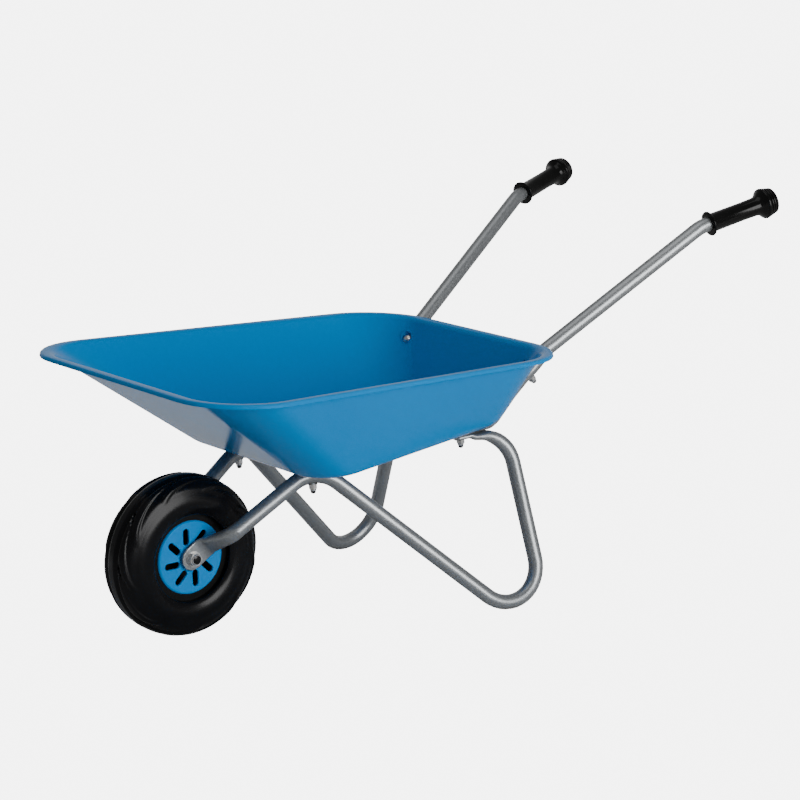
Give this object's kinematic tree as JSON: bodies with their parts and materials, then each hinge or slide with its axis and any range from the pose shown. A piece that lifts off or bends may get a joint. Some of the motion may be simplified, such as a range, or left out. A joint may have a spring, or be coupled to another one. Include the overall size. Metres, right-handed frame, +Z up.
{
  "type": "wheelbarrow",
  "caption": "Small wheelbarrow: flared pressed-steel tray on bent tube legs and handles, with a single front wheel that turns on a bolt axle.",
  "frame": {"origin": "on the ground, under the middle of the object's box", "axes": "+X towards the wheel, +Y to the left hand of the person pushing, +Z up"},
  "size_m": [0.767, 0.3936, 0.4272],
  "materials": {
    "blue_paint": "gloss",
    "silver_paint": "metallic gloss",
    "grip_plastic": "gloss",
    "black_cap": "gloss",
    "tyre": "satin",
    "core_plastic": "satin",
    "blue_plastic": "gloss",
    "bush_plastic": "satin",
    "zinc_steel": "zinc plated"
  },
  "bodies": {
    "frame": {"tray": "blue_paint", "leg_tube_left": "silver_paint", "leg_tube_right": "silver_paint", "handle_tube_left": "silver_paint", "handle_tube_right": "silver_paint", "grip_left": "grip_plastic", "grip_right": "grip_plastic", "front_floor_bolts": "zinc_steel", "rear_floor_bolts": "zinc_steel", "rear_wall_bolts": "zinc_steel", "bolt_head_washers": "zinc_steel", "nut_washers": "zinc_steel", "front_floor_nuts": "zinc_steel", "rear_floor_nuts": "zinc_steel", "rear_wall_nuts": "zinc_steel", "bolt_end_caps": "black_cap", "axle_bolt": "zinc_steel", "axle_inner_washers": "zinc_steel", "axle_outer_washers": "zinc_steel", "axle_nut": "zinc_steel", "axle_end_cap": "black_cap"},
    "wheel": {"tyre": "tyre", "wheel_core": "core_plastic", "hub_cap_left": "blue_plastic", "hub_cap_right": "blue_plastic", "bush_left": "bush_plastic", "bush_right": "bush_plastic"}
  },
  "joints": [
    {"name": "wheel_spin", "type": "hinge", "parent": "frame", "child": "wheel", "pos_m": [0.29847, 0, 0.085], "axis": [0, 1, 0], "continuous": true}
  ]
}
